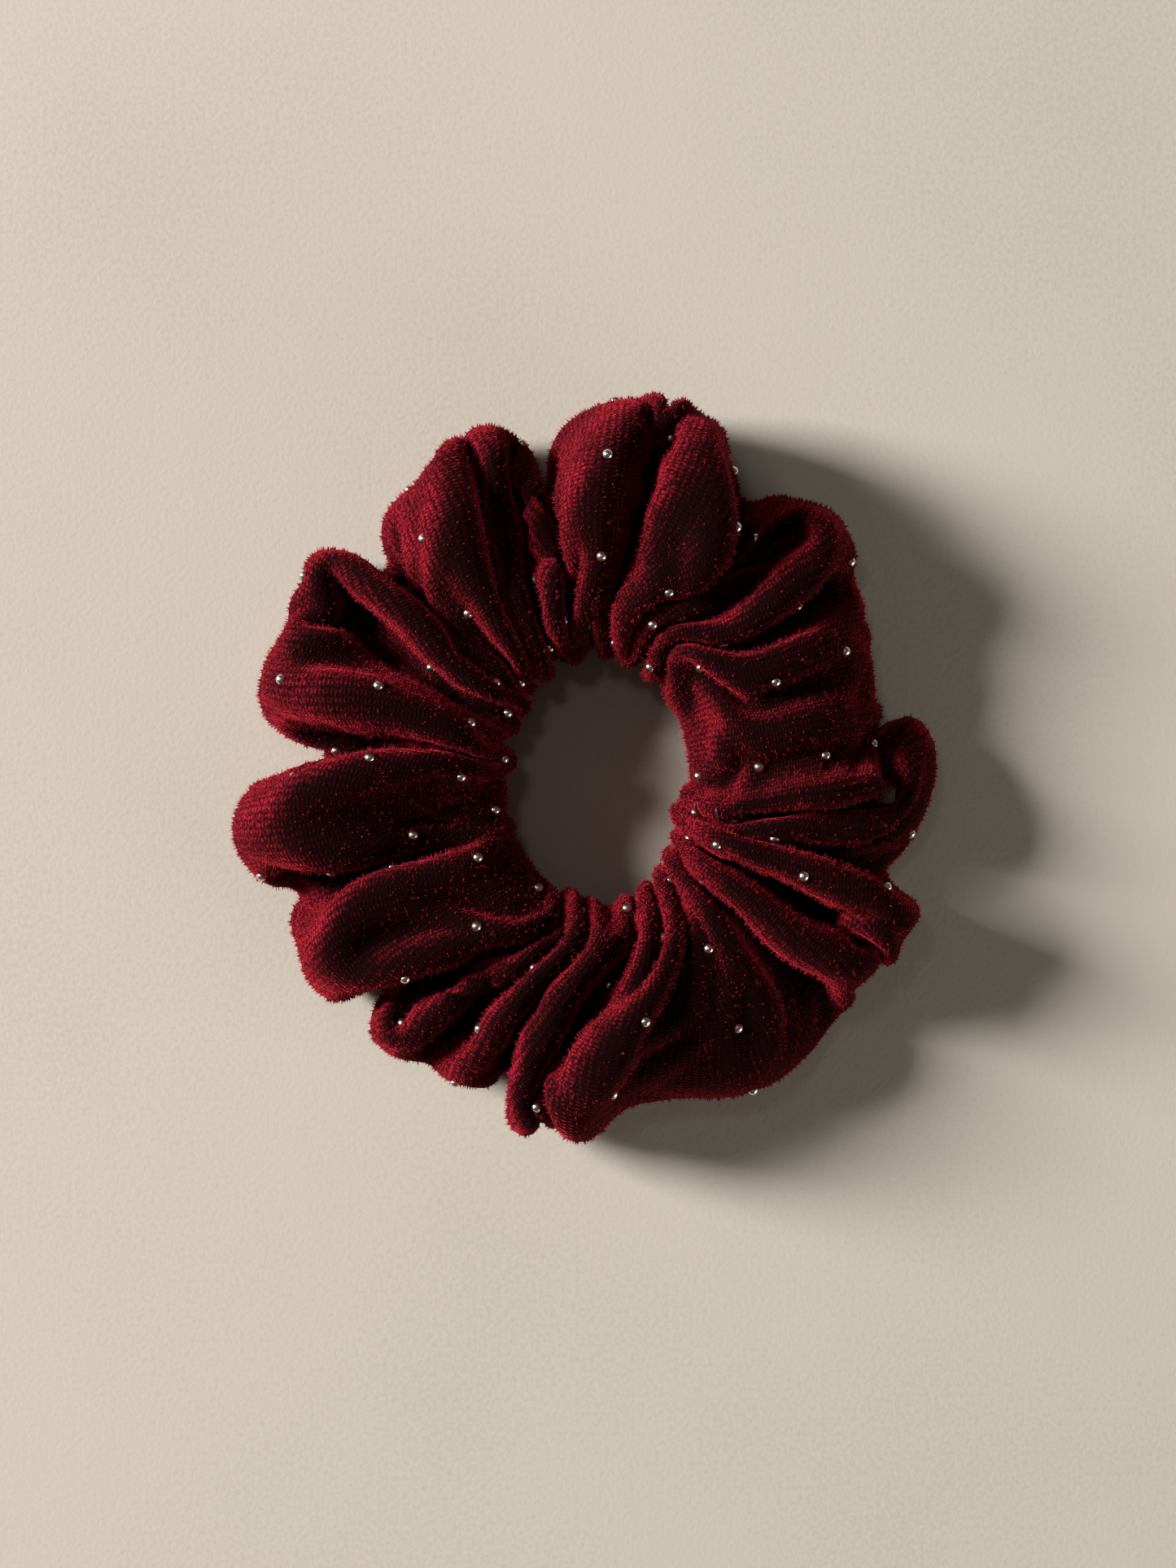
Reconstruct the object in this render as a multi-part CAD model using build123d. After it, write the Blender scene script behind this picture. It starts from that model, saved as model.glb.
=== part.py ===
from build123d import *
import math
import os

# A scrunchie: a gathered velvet tube over a ring of flat elastic, lying flat on its side.
# Millimetres, +Z up, the floor at z = 0, the origin under the middle of the whole part.
# The cover and the elastic are each cut in the plane across the middle of the hair hole,
# so that the right half can slide away from the left one as the ring is pulled open.

# ---- driving sizes ----
HOLE_WIDTH = 26.0           # the hair hole along X
HOLE_LENGTH = 36.0          # the hair hole along Y
OUTER_WIDTH = 104.0         # outline that the longest folds reach, along X
OUTER_LENGTH = 110.0        # the same along Y
COVER_HEIGHT = 28.0         # top of the tallest fold above the floor
FABRIC = 1.2                # velvet: knit backing with its pile
FLOOR_FLAT = 0.8            # how much the soft underside flattens on the floor

ELASTIC_WIDTH = 6.0         # flat braided elastic, its width standing along Z
ELASTIC_THICK = 1.0
ELASTIC_GAP = 0.55          # left between the elastic and the cloth on the hole's side
ELASTIC_ROOM = 1.0          # least room between the elastic's edges and the cloth over a crease
ELASTIC_LAP = 12.0          # how far the elastic's two ends overlap where they are sewn

STUD_DIAMETER = 1.5         # hot-fixed dome studs
STUD_HEIGHT = 0.6           # dome above the pile
STUD_ROOT = 0.3             # rim sunk into the pile
STUD_PITCH = 6.8            # between rows of studs, along the middle of the gathered tube
STUDS_AROUND = 7            # studs in one row around the tube
STUD_FLOOR_GAP = 2.0        # no stud lies lower than this
STUD_SEAM_GAP = 2.6         # nor nearer than this to the line of the closing seam

THREAD = 0.5                # sewing thread
STITCH_LENGTH = 2.2
STITCH_PITCH = 3.4
TUCK_DEPTH = 8.0            # how far the closing end is tucked inside the other
SEAM_ROW = 7                # the closing seam runs halfway between this row of studs and the next
JOIN_BARS = 4               # thread bars in each row of the elastic's join

# Folds of the gathered cover, from the lower end of the cut round the right half to 90, its
# upper end, and on round the left half: angle about the hair hole, how far short of the
# outer outline the fold stops, and how far below the tallest fold its top is.
FOLDS = [
    (-90, 5.0, 6.0),
    (-80, 8.5, 9.0),
    (-64, 3.5, 2.0),
    (-45, 6.0, 6.0),
    (-34, 8.0, 9.0),
    (-25, 5.0, 3.0),
    (-16, 8.0, 9.0),
    (-4, 3.5, 4.0),
    (12, 11.5, 6.0),
    (32, 9.5, 4.0),
    (50, 4.0, 1.0),
    (65, 12.5, 9.0),
    (80, 0.0, 0.0),
    (90, 1.5, 3.0),
    (101, 14.0, 9.0),
    (113, 4.5, 1.0),
    (126, 4.5, 3.0),
    (137, 11.5, 8.0),
    (148, 3.5, 2.0),
    (163, 2.5, 3.0),
    (177, 14.0, 9.0),
    (188, 0.0, 0.0),
    (202, 7.5, 8.0),
    (214, 3.0, 2.0),
    (223, 10.0, 9.0),
    (238, 5.0, 2.0),
    (255, 10.5, 9.0),
    (266, 2.5, 0.0),
]
FOLDS.append((270,) + FOLDS[0][1:])     # round to where it started

# ---- worked out from them ----
RING_Z = (COVER_HEIGHT - FLOOR_FLAT) * 0.4      # height of the middle of the tube
TUBE_A = (HOLE_WIDTH + OUTER_WIDTH) / 4         # half sizes of the tube's middle line
TUBE_B = (HOLE_LENGTH + OUTER_LENGTH) / 4
TUBE_ROUND = math.pi * (TUBE_A + TUBE_B)
STUD_ROWS = 2 * round(TUBE_ROUND / STUD_PITCH / 2)
ROW_STEP = 360 / STUD_ROWS
FIRST_ROW = -90 + ROW_STEP / 4                  # off the cut, where a stud would be halved
SEAM_ANGLE = FIRST_ROW + (SEAM_ROW + 0.5) * ROW_STEP
RIGHT_FOLDS = [fold for fold in FOLDS if fold[0] <= 90]
LEFT_FOLDS = [fold for fold in FOLDS if fold[0] >= 90]
BIG = OUTER_WIDTH + OUTER_LENGTH


def ellipse_radius(a, b, angle):
    """Distance from the centre of an ellipse of half sizes a and b to its edge at an angle."""
    t = math.radians(angle)
    return a * b / math.hypot(b * math.cos(t), a * math.sin(t))


def section_sizes(fold, inset):
    """Tube section in one fold's radial plane: middle radius, half width, rise and depth."""
    angle, short, drop = fold
    inner = ellipse_radius(HOLE_WIDTH / 2, HOLE_LENGTH / 2, angle)
    outer = ellipse_radius(OUTER_WIDTH / 2, OUTER_LENGTH / 2, angle) - short
    over_elastic = ELASTIC_WIDTH / 2 + ELASTIC_ROOM + 2 * FABRIC
    rise = max(COVER_HEIGHT - drop - RING_Z, over_elastic)      # a crease lies on the elastic at its lowest
    depth = RING_Z + FLOOR_FLAT
    return (outer + inner) / 2, (outer - inner) / 2 - inset, rise - inset, depth - inset


def wall_retreat(fold):
    """How far the lining curves back from the hole, at the level of the elastic's edges."""
    _, half_width, rise, depth = section_sizes(fold, 2 * FABRIC)
    return half_width * (1 - math.sqrt(1 - (ELASTIC_WIDTH / 2 / min(rise, depth)) ** 2))


# The elastic stands clear of the lining and of the tucked end all the way round.
ELASTIC_INSET = 2 * FABRIC + max(wall_retreat(f) for f in FOLDS) + ELASTIC_GAP + ELASTIC_THICK / 2
ELASTIC_A = HOLE_WIDTH / 2 + ELASTIC_INSET      # half sizes of the elastic's middle line
ELASTIC_B = HOLE_LENGTH / 2 + ELASTIC_INSET


def radial_plane(angle, radius=0.0, height=0.0):
    """Plane that stands on Z at an angle about the hair hole, its x axis pointing outwards."""
    t = math.radians(angle)
    out = Vector(math.cos(t), math.sin(t), 0)
    return Plane(origin=out * radius + Vector(0, 0, height), x_dir=out, z_dir=Vector(out.Y, -out.X, 0))


def tube_section(fold, inset):
    """Face of the tube where it is cut by the radial plane of one fold, drawn inset all round."""
    middle, half_width, rise, depth = section_sizes(fold, inset)
    top = EllipticalCenterArc((0, 0), half_width, rise, 0, arc_size=180)
    bottom = EllipticalCenterArc((0, 0), half_width, depth, 180, arc_size=180)
    return radial_plane(fold[0], middle, RING_Z) * make_face(top + bottom)


def tube(folds, inset):
    """Half of the gathered tube as one solid, drawn inset all round and flat underneath."""
    body = loft([tube_section(fold, inset) for fold in folds], ruled=True)
    above = Pos(0, 0, inset) * Box(BIG, BIG, BIG, align=(Align.CENTER, Align.CENTER, Align.MIN))
    return body & above


def wedge(from_angle, to_angle):
    """Sector of space about the hair hole, less than half a turn wide."""
    reach = [Vector(BIG, 0).rotate(Axis.Z, a) for a in (from_angle, to_angle)]
    return extrude(make_face(Polyline((0, 0), reach[0], reach[1], close=True)), BIG, both=True)


def side_of_cut(right):
    """Everything on one side of the plane that the ring is pulled open at."""
    align = Align.MIN if right else Align.MAX
    return Box(BIG, 2 * BIG, 2 * BIG, align=(align, Align.CENTER, Align.CENTER))


def band(a, b, thick, width):
    """Upright elliptical band about Z, a and b being the half sizes of its middle line."""
    ring = Ellipse(a + thick / 2, b + thick / 2) - Ellipse(a - thick / 2, b - thick / 2)
    return Pos(0, 0, RING_Z) * extrude(ring, width / 2, both=True)


def surface_point(skin, angle, around):
    """Point and outward normal of a skin, seen from the tube's middle line.

    around is the direction within the radial plane: 0 points away from the hair hole, 90 up.
    """
    plane = radial_plane(angle, ellipse_radius(TUBE_A, TUBE_B, angle), RING_Z)
    t = math.radians(around)
    direction = plane.x_dir * math.cos(t) + Vector(0, 0, 1) * math.sin(t)
    hits = []
    for face in skin.faces():
        for point, normal in face.find_intersection_points(Axis(plane.origin, direction)):
            along = (point - plane.origin).dot(direction)
            if along > 0:
                hits.append((along, point, normal))
    along, point, normal = min(hits, key=lambda hit: hit[0])
    return point, normal if normal.dot(direction) > 0 else -normal


def place_on(piece, skin, angle, around):
    """A piece moved onto a skin, its z axis along the normal and its x axis along the tube."""
    point, normal = surface_point(skin, angle, around)
    along = radial_plane(angle).z_dir
    x_dir = along - normal * along.dot(normal)
    return Plane(origin=point, x_dir=x_dir, z_dir=normal) * piece


def stud():
    """Domed stud with a short rim that sinks into the pile."""
    r = STUD_DIAMETER / 2
    dome_radius = (r * r + STUD_HEIGHT * STUD_HEIGHT) / (2 * STUD_HEIGHT)
    above = Box(BIG, BIG, BIG, align=(Align.CENTER, Align.CENTER, Align.MIN))
    dome = Pos(0, 0, STUD_HEIGHT - dome_radius) * Sphere(dome_radius) & above
    return dome + Cylinder(r, STUD_ROOT, align=(Align.CENTER, Align.CENTER, Align.MAX))


def stitch():
    """One stitch of thread, lying along x, half sunk in the cloth."""
    return Rot(0, 90, 0) * Cylinder(THREAD / 2, STITCH_LENGTH)


def clear_of_seam(point):
    """Whether a stud at this point leaves the closing seam's stitches free."""
    seam = radial_plane(SEAM_ANGLE)
    return point.dot(seam.x_dir) < 0 or abs(point.dot(seam.z_dir)) > STUD_SEAM_GAP


def stud_rows(right, skin):
    """Staggered rows of studs on one half of the cover."""
    studs = []
    for row in range(STUD_ROWS):
        angle = FIRST_ROW + row * ROW_STEP
        if (angle < 90) != right:
            continue
        for place in range(STUDS_AROUND):
            around = (place + 0.5 * (row % 2)) * 360 / STUDS_AROUND
            point, _ = surface_point(skin, angle, around)
            if point.Z > STUD_FLOOR_GAP and clear_of_seam(point):
                studs.append(place_on(stud(), skin, angle, around))
    return studs


def long_seam(right, lining):
    """Running stitches along the tube, inside it, on the side next to the hair hole."""
    hole_round = math.pi * (HOLE_WIDTH + HOLE_LENGTH) / 2
    count = 2 * int(hole_round / STITCH_PITCH / 2)
    start = -90 if right else 90
    angles = [start + (i + 0.5) * 360 / count for i in range(count // 2)]
    return [place_on(stitch(), lining, angle, 180) for angle in angles]


def closing_seam(skin):
    """Slip stitches round the tube, where its two ends are sewn together."""
    plane = radial_plane(SEAM_ANGLE, ellipse_radius(TUBE_A, TUBE_B, SEAM_ANGLE), RING_Z)
    cut = skin & (plane * Circle(BIG))
    outline = cut.faces()[0].outer_wire()
    count = int(outline.length / STITCH_PITCH)
    stitches = []
    for i in range(count):
        point = outline.position_at((i + 0.5) / count)
        if point.Z > THREAD:
            toward = point - plane.origin
            around = math.degrees(math.atan2(toward.Z, toward.dot(plane.x_dir)))
            stitches.append(place_on(stitch(), skin, SEAM_ANGLE, around))
    return stitches


def tucked_end(lining):
    """End of the tube tucked inside the other end, lying against the cover's inner face."""
    sleeve = lining - tube(RIGHT_FOLDS, 2 * FABRIC)
    middle = ellipse_radius(TUBE_A, TUBE_B, SEAM_ANGLE)
    return sleeve & wedge(SEAM_ANGLE, SEAM_ANGLE + math.degrees(TUCK_DEPTH / middle))


def elastic(right):
    """Half of the elastic ring; the right half has the lap where the ends are sewn."""
    strip = band(ELASTIC_A, ELASTIC_B, ELASTIC_THICK, ELASTIC_WIDTH) & side_of_cut(right)
    if right:
        lap = band(ELASTIC_A + ELASTIC_THICK, ELASTIC_B + ELASTIC_THICK, ELASTIC_THICK, ELASTIC_WIDTH)
        half_lap = math.degrees(ELASTIC_LAP / 2 / ELASTIC_A)
        strip += lap & wedge(-half_lap, half_lap)
    return strip


def elastic_join():
    """Two rows of thread bars through both layers of the lap."""
    bar = Rot(0, 90, 0) * Cylinder(THREAD / 2, 2 * ELASTIC_THICK + THREAD)
    step = math.degrees(ELASTIC_LAP / ELASTIC_A) / (JOIN_BARS + 1)
    bars = []
    for i in range(JOIN_BARS):
        angle = (i - (JOIN_BARS - 1) / 2) * step
        for side in (-1, 1):
            radius = ellipse_radius(ELASTIC_A, ELASTIC_B, angle) + ELASTIC_THICK / 2
            bars.append(Rot(0, 0, angle) * Pos(radius, 0, RING_Z + side * ELASTIC_WIDTH / 4) * bar)
    return bars


def build_nodes():
    """Every named piece, about the middle of the hair hole."""
    skin = {True: tube(RIGHT_FOLDS, 0), False: tube(LEFT_FOLDS, 0)}
    lining = {True: tube(RIGHT_FOLDS, FABRIC), False: tube(LEFT_FOLDS, FABRIC)}
    nodes = {}
    for right, side in ((False, "left"), (True, "right")):
        nodes["cover_" + side] = skin[right] - lining[right]
        nodes["elastic_" + side] = elastic(right)
        nodes["long_seam_" + side] = Compound(children=long_seam(right, lining[right]))
        nodes["studs_" + side] = Compound(children=stud_rows(right, skin[right]))
    nodes["tucked_end"] = tucked_end(lining[True])
    nodes["closing_seam_stitches"] = Compound(children=closing_seam(skin[True]))
    nodes["elastic_join_stitches"] = Compound(children=elastic_join())
    return nodes


def main():
    nodes = build_nodes()
    box = Compound([solid for shape in nodes.values() for solid in shape.solids()]).bounding_box()
    centre = box.center()
    os.makedirs("parts", exist_ok=True)
    for name, shape in nodes.items():
        placed = Compound([Pos(-centre.X, -centre.Y, -box.min.Z) * solid for solid in shape.solids()])
        export_step(placed, "parts/" + name + ".step")
    print("hair hole centre", round(-centre.X, 3), round(-centre.Y, 3), "ring height", round(RING_Z, 3))
    print("hole edge to elastic", round(ELASTIC_INSET, 3))
    print("size", round(box.size.X, 2), round(box.size.Y, 2), round(box.size.Z, 2))


main()
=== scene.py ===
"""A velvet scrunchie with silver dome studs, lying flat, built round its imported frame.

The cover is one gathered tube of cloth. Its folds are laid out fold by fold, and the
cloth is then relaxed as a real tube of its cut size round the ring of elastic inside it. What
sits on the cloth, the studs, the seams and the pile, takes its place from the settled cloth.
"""

import functools
import math

import bpy
import numpy as np
from bpy.props import FloatProperty, FloatVectorProperty, IntProperty, PointerProperty
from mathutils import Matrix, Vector
from mathutils.bvhtree import BVHTree


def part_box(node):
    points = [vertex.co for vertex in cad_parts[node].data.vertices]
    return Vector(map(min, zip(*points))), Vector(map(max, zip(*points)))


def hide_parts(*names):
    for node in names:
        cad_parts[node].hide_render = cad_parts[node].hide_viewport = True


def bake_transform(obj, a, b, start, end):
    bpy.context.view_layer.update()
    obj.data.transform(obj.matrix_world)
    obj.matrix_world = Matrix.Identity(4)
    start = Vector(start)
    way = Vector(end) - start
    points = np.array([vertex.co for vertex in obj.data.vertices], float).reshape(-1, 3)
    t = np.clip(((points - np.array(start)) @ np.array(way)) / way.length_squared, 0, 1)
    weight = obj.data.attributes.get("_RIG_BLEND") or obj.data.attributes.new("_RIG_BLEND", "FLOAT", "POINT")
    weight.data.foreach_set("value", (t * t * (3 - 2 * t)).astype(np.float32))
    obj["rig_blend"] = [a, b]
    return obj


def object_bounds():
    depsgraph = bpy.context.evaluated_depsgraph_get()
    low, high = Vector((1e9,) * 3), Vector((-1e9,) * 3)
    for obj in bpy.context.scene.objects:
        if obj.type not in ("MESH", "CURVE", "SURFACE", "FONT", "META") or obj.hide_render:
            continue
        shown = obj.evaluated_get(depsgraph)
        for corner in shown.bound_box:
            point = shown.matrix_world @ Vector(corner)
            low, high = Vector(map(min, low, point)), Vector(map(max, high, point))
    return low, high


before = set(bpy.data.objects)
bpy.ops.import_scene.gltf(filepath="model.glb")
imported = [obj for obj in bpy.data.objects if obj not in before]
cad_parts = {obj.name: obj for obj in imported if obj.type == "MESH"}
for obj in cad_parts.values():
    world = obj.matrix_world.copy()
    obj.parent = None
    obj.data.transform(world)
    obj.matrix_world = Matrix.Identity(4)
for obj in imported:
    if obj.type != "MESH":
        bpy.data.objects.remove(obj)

bl_info = {
    "name": "Studded Velvet Scrunchie",
    "version": (1, 0, 0),
    "blender": (4, 5, 0),
    "location": "3D View > Sidebar > Scrunchie",
    "description": "Builds a gathered velvet scrunchie with dome studs, its elastic, seams and studio",
    "category": "Add Mesh",
}

CAD_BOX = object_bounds()
MM = 0.001

# ---- places taken from the frame, in millimetres ----
BAND_LOW, BAND_HIGH = (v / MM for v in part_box("elastic_left"))
LAP_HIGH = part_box("elastic_right")[1] / MM
HOLE = np.array([BAND_HIGH.x, (BAND_LOW.y + BAND_HIGH.y) / 2])     # middle of the hair hole
RING_Z = (BAND_LOW.z + BAND_HIGH.z) / 2                            # height of the elastic's middle
BAND_WIDTH = BAND_HIGH.z - BAND_LOW.z
BAND_THICK = LAP_HIGH.x - HOLE[0] - (HOLE[0] - BAND_LOW.x)         # the lap is one layer thicker
BAND_A = BAND_HIGH.x - BAND_LOW.x - BAND_THICK / 2                 # half sizes of the elastic's line
BAND_B = (BAND_HIGH.y - BAND_LOW.y - BAND_THICK) / 2
BAND_INSET = 5.39                                                  # from the hole's edge to the elastic
HOLE_A = BAND_A - BAND_INSET                                       # half sizes of the hair hole
HOLE_B = BAND_B - BAND_INSET
BAND_ROOM = 1.6                                                    # laid cloth over and under the elastic

# Folds of the cover, anticlockwise from the closing seam. Each one is a line that runs from the
# hair hole out to the rim: its angle at the hole, a quarter out, two thirds out and at the rim,
# how far from the middle of the hole the rim lies, the height of the cloth's upper side at the
# last three of those places, and the least height of its underside at the rim. High lines are
# crests, low ones the creases between them.
FOLDS = [
    # edge of the closing seam, lapped over what lies beyond it, and the smooth face next to it
    (-18, -11, -6, -4, 42.5, 19, 20, 17, 12),
    (-12, -6, -2, 0, 41.0, 18, 19, 15, 9),
    (0, 4, 5, 6, 40.5, 17, 17, 13, 3),
    (18, 14, 13, 12.5, 41.0, 20, 19, 14, 1),
    (33, 22, 20, 19, 41.5, 19, 17.5, 14, 1),
    (47, 29.5, 26.5, 25.5, 43.0, 18.5, 16.5, 14, 1),
    # upper right, folds that sweep round from the hole, the highest doubling back round a pocket
    (56, 37, 32.5, 30.5, 44.0, 21, 19, 15, 1),
    (60, 43, 38.5, 38.5, 46.0, 16, 10, 11, 1),
    (63, 50, 44.5, 45, 48.5, 20, 21, 20, 1),
    (67, 55, 49.5, 49, 49.0, 17, 12, 18, 1),
    (71, 59, 54, 54, 48.0, 20, 13, 18, 1),
    (75, 63, 58.5, 61.5, 44.5, 17, 9, 8, 1),
    # top, a finger that ends in a flap, a deep slit and a broad lobe
    (79.5, 68, 60.5, 66, 46.5, 20, 23, 19, 1),
    (81.5, 73, 67.5, 71, 52.0, 21, 25, 23, 1),
    (83.5, 78, 76, 75.5, 53.2, 20, 25, 23, 1),
    (86, 82, 80, 79, 53.0, 15, 9, 23, 1),
    (89, 86, 84, 82.5, 53.6, 20, 23, 23, 1),
    (94, 92, 91, 88, 53.2, 20, 24, 22, 1),
    (98, 96, 96, 95, 50.0, 18, 20, 16, 1),
    (102, 99.5, 100, 100.5, 41.0, 15, 9, 7, 1),
    # upper left, narrow pleats next to a large smooth face
    (107, 105, 104, 104, 46.5, 19, 18, 15, 1),
    (111, 109, 107, 106.5, 48.5, 15, 10, 12, 1),
    (115, 113.5, 110, 108.5, 50.0, 19, 17, 18, 1),
    (119, 118.5, 113, 109.8, 50.0, 15, 7, 13, 1),
    (122, 122.5, 116.5, 113.5, 50.5, 19, 22, 21, 1),
    (127, 128, 125, 121, 49.0, 17, 20, 19, 1),
    (132, 134, 132, 129, 47.5, 16, 16, 15, 1),
    (137, 139, 137.5, 136, 42.0, 15, 9, 8, 1),
    # left upper, a ridge, a pocket and a finger that turns back on itself
    (142, 143, 139, 141, 48.0, 18, 21, 20, 1),
    (148, 149, 147, 146, 49.5, 15.5, 8, 18, 1),
    (153, 153, 153, 152, 48.5, 18, 17, 19, 1),
    (157, 156, 158, 159, 49.5, 20, 17, 18, 1),
    (162, 159, 161, 165, 49.5, 22, 23, 20, 1),
    (167, 166, 168, 170, 47.0, 20, 15, 13, 1),
    (171, 171, 173, 177, 37.5, 17, 8, 8, 1),
    # left, a large lobe
    (177, 175.5, 180, 182, 49.0, 21, 23, 18, 1),
    (185, 184, 186, 187, 51.5, 19, 22, 20, 1),
    (192, 192, 193, 191, 51.5, 16, 21, 20, 1),
    (199, 198.5, 198, 195, 50.0, 15, 20, 16, 1),
    (208, 205, 203, 201, 46.0, 15, 8, 9, 1),
    # left lower, a large smooth lobe that sweeps back from the hole over the two next to it
    (217, 211, 206.5, 209, 48.0, 19, 21, 20, 1),
    (229, 219, 213, 215.5, 49.3, 18, 19, 19, 1),
    (242, 231, 221, 220.5, 48.0, 19, 19, 17, 1),
    (252, 242, 229, 225, 43.5, 18, 15, 9, 1),
    # lower left
    (255, 247, 233.5, 229, 47.0, 15, 8, 14, 1),
    (257, 250, 238, 234, 47.5, 17, 18, 17, 1),
    (259, 252.5, 243, 240, 46.5, 15, 9, 10, 1),
    (261, 255, 248, 246, 46.5, 18, 19, 17, 1),
    (263, 257.5, 253, 253.5, 44.0, 15, 7, 7, 1),
    # bottom, a finger, a slit that closes at the rim and the large sheet to its right
    (267, 260.5, 256.5, 256.5, 46.5, 19, 20, 18, 1),
    (277, 265, 259, 258.5, 48.5, 20, 20, 19, 1),
    (283, 275, 262.5, 261, 49.0, 15, 8, 18, 1),
    (288, 284, 266, 264, 50.0, 20, 23, 20, 1),
    (292, 288, 273, 268.5, 50.5, 19, 22, 19, 1),
    (296, 292, 281, 274, 47.0, 19, 20.5, 17, 1),
    (299, 296, 289, 283, 46.5, 18.5, 19.5, 16, 1),
    (302, 301, 296, 292, 49.0, 18, 18, 15, 1),
    # lower right, where that sheet falls away
    (306, 306, 303, 300, 50.3, 18, 16.5, 14, 1),
    (310.5, 311, 309.5, 307.5, 49.3, 18.5, 14.5, 12, 1),
    (314.5, 315, 315, 315, 47.8, 16, 9, 9, 1),
    # right lower, a loop round a pocket
    (319, 319, 318.5, 321, 46.5, 20, 21, 18, 1),
    (323, 323, 322.5, 326, 47.0, 18, 21, 20, 1),
    (328, 329, 329, 331, 47.5, 15, 5, 20, 1),
    (333.5, 335, 335.5, 336, 47.5, 20, 22, 20, 1),
    (337, 338.5, 340.5, 341.5, 43.5, 16, 9, 7, 1),
    # right puff, which runs on behind the closing seam, and the cloth doubling back to the seam
    (339, 342, 345, 346, 45.5, 17, 14, 13, 1),
    (340, 344, 349, 354, 48.0, 17, 13, 12, 1),
    (341, 346, 352, 363, 49.5, 16, 12, 12, 1),
    (341.5, 347, 354, 371, 48.0, 16, 11, 10, 1),
    (342, 348, 356, 368, 44.5, 16, 11, 6, 1),
]


CLOTH_SET_IN = 1.1      # the middle of the cloth lies this far inside the outline of its pile
FLOOR_ROOM = 0.8        # least height of the laid underside
QUARTER_OUT, TWO_THIRDS_OUT = 0.32, 0.66    # where the fold lines' inner places lie, from hole to rim

# The cloth is settled on a coarse grid, in points along and around the tube, and then on a fine one.
COARSE_GRID, FINE_GRID = (216, 46), (432, 92)
COARSE_STEPS, FINE_STEPS = 300, 120
COARSE_LAYERS, FINE_LAYERS = 1.9, 1.45      # least distance between the middles of touching layers
COARSE_FALL, FINE_FALL = 0.004, 0.002       # how far it drops in each step
FINE_HOLD = 0.1                             # the fine grid is held this much as firmly
CLOTH_ON_BAND = 0.9                         # from the elastic to the middle of the cloth
CLOTH_ON_FLOOR = 0.6                        # least height of the middle of the cloth
KEPT_MOTION, LONGEST_MOVE = 0.9, 0.4        # share of a point's motion kept, and its limit
STRETCH_GAIN = 2.6                          # how strongly the threads pull in one step
EXTRA_GIRTH = 0.35                          # share of the loose girth that the gathers take up

# How freely the cloth may gather, and how firmly it is held to the laid folds, at places around
# the tube: 0 is beside the hair hole, a half is the rim, and between them lies the upper side.
FREE_PLACES = (0.0, 0.08, 0.25, 0.5, 0.75, 0.92, 1.0)
FREE_SHARES = (0.0, 0.15, 0.7, 1.0, 0.7, 0.15, 0.0)
# The face next to the closing seam, the top lobe's slit and the lower right sheet lie almost
# smooth, so their cloth is barely gathered: shares at places along the tube.
SLACK_PLACES = (0.0, 0.065, 0.09, 0.165, 0.172, 0.208, 0.215, 0.785, 0.795, 0.833, 0.843, 0.965, 0.975, 1.0)
SLACK_SHARES = (0.05, 0.05, 1.0, 1.0, 0.1, 0.1, 1.0, 1.0, 0.1, 0.1, 1.0, 1.0, 0.05, 0.05)
HOLD_PLACES = (0.0, 0.1, 0.25, 0.42, 0.52, 0.75, 0.9, 1.0)
HOLD_SHARES = (0.3, 0.18, 0.16, 0.26, 0.2, 0.02, 0.08, 0.3)
SMOOTH_HOLD = 2.0       # how much more firmly the smooth faces are held
FIRMEST_HOLD = 0.6


# Pile: a tuft is left out where other cloth is nearer than this in front of it, or the floor is.
PILE_START, PILE_CLEAR, PILE_FLOOR = 0.25, 1.6, 1.5
TUFT_LEAN = 0.22                # how much single tufts lean, as a spread

HEM_DEPTHS = (0.1, 0.55)        # the tucked end's two faces, measured in from the cover's back
HEM_ON_BAND = 0.12
BAND_EDGE = 0.3                 # how far the elastic's edges are rounded
LAP_BARS = 4                    # thread bars in each row across the elastic's lap
STITCH_RISE = 0.12              # how far a stitch stands out in its middle
CLOSING_STITCH_PAST = 1.5       # from the folded edge of the closing seam to its stitches

# Real spacings of the finishes' patterns.
TUFT_SPACING = 0.42             # clumps of pile in the velvet
TUFT_GROUP = 0.6                # neighbouring tufts that share a tone
BRUSHED_PATCH = 9
# Direction that the velvet's painted light faces: towards the key light and away from up, not a real spacing.
PAINTED_LIGHT_FACING = (-0.62, 0.22, -0.62)
ELASTIC_RIB, ELASTIC_YARN = 0.75, 0.6
THREAD_PLY = 0.3
HANDLING_MARK = 0.5
ORANGE_PEEL, UNEVEN_TONE = 0.7, 60

BOARD_HALF = 1.5                # half the width of the painted board, in metres


# ---- sizes and colours that can be set in the sidebar ----
def length(name, description, default):
    return FloatProperty(name=name, description=description, default=default, min=0.0,
                         unit="LENGTH", subtype="DISTANCE", precision=5)


def colour(name, description, default):
    return FloatVectorProperty(name=name, description=description, default=linear(default)[:3],
                               size=3, subtype="COLOR", min=0.0, max=1.0)


def linear(hex_colour):
    """An sRGB hex colour as linear RGBA."""
    values = [int(hex_colour[i:i + 2], 16) / 255 for i in (1, 3, 5)]
    return tuple(v / 12.92 if v <= 0.04045 else ((v + 0.055) / 1.055) ** 2.4 for v in values) + (1.0,)


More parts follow.
